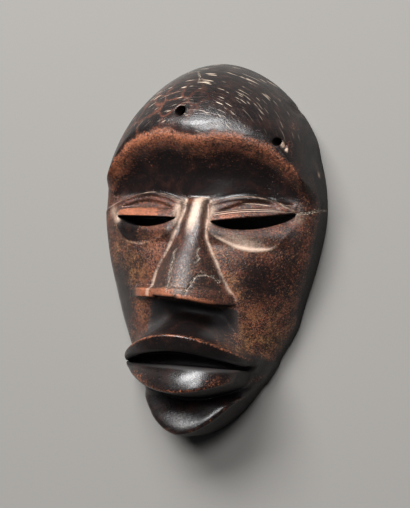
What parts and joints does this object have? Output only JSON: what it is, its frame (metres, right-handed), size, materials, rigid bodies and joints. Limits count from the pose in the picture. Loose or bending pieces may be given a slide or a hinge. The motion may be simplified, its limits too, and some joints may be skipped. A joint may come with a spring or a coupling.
{
  "type": "face mask",
  "caption": "Carved wooden face mask with an oval outline, slit eyes, a wedge nose and jutting lips, hollow at the back with a flat rim.",
  "frame": {"origin": "under the middle of the mask, in the plane of its rim", "axes": "+X to the viewer's right of the face, +Y to the crown, +Z out of the face; the mask lies on its rim with the face up"},
  "size_m": [0.1439, 0.2392, 0.077],
  "materials": {
    "mask": "dark polished patina, worn to brown on the edges"
  },
  "bodies": {
    "root": {"mask": "mask"}
  },
  "joints": []
}
